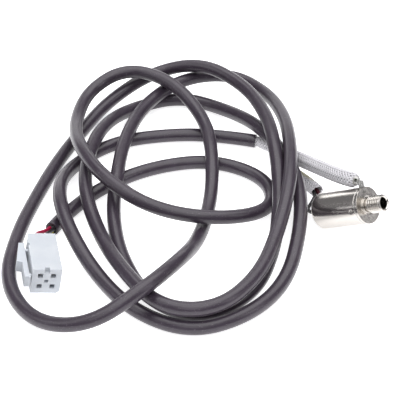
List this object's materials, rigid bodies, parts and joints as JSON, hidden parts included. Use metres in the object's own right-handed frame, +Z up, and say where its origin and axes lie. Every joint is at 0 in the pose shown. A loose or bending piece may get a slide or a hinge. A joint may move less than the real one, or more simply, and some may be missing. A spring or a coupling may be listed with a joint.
{
  "type": "flame sensor probe",
  "caption": "Plated metal flame sensor can with a threaded sight nose and earth tag, two braided sleeves, and a long black cable in loose loops to a latched plug.",
  "frame": {"origin": "the point of the floor under the middle of the sensor's own box (cable, sleeves, leads and plug left out)", "axes": "+Z up from the floor the part lies on, +X the way the nose points, seen from above; the nose is tilted 30 degrees up from +X"},
  "size_m": [0.1356, 0.1547, 0.023],
  "materials": {
    "nickel_plate": "bright nickel plate on turned steel",
    "steel_pin": "peened steel",
    "tinned_sheet": "tinned, dull",
    "window_glass": "polished",
    "black_rubber": "moulded",
    "cell_case": "drawn can",
    "moulded_holder": "moulded",
    "tinned_wire": "drawn",
    "board_laminate": "solder mask",
    "component_body": "moulded",
    "solder": "reflowed",
    "polyester_film": "film",
    "epoxy_potting": "cast",
    "pvc_jacket": "extruded, satin",
    "glass_braid": "braided glass yarn",
    "core_yellow_green": "extruded",
    "core_red": "extruded",
    "core_black": "extruded",
    "natural_nylon": "moulded, slightly clear",
    "tinned_brass": "tin plated strip"
  },
  "bodies": {
    "probe": {"sensor_can": "nickel_plate", "front_cap": "nickel_plate", "stake_pins": "steel_pin", "earth_tag": "tinned_sheet", "window_glass": "window_glass", "window_seal": "black_rubber", "window_retainer": "nickel_plate", "photocell": "cell_case", "cell_holder": "moulded_holder", "cell_pins": "tinned_wire", "circuit_board": "board_laminate", "board_components": "component_body", "solder_joints": "solder", "insulating_liner": "polyester_film", "potting": "epoxy_potting", "rear_grommet": "black_rubber", "cable_jacket": "pvc_jacket", "earth_sleeve": "glass_braid", "signal_sleeve": "glass_braid", "earth_core": "core_yellow_green", "signal_lead_red": "core_red", "signal_lead_black": "core_black", "plug_core_red": "core_red", "plug_core_black": "core_black", "plug_core_earth": "core_yellow_green", "connector_housing": "natural_nylon", "connector_contacts": "tinned_brass"},
    "latch": {"latch_lever": "natural_nylon"}
  },
  "joints": [
    {"name": "latch_press", "type": "hinge", "parent": "probe", "child": "latch", "pos_m": [-0.07478, -0.07984, 0.00653], "axis": [-0.1162, -0.129, -0.9848], "range_deg": [0, 6], "stiffness_Nm_per_rad": 0.05}
  ]
}
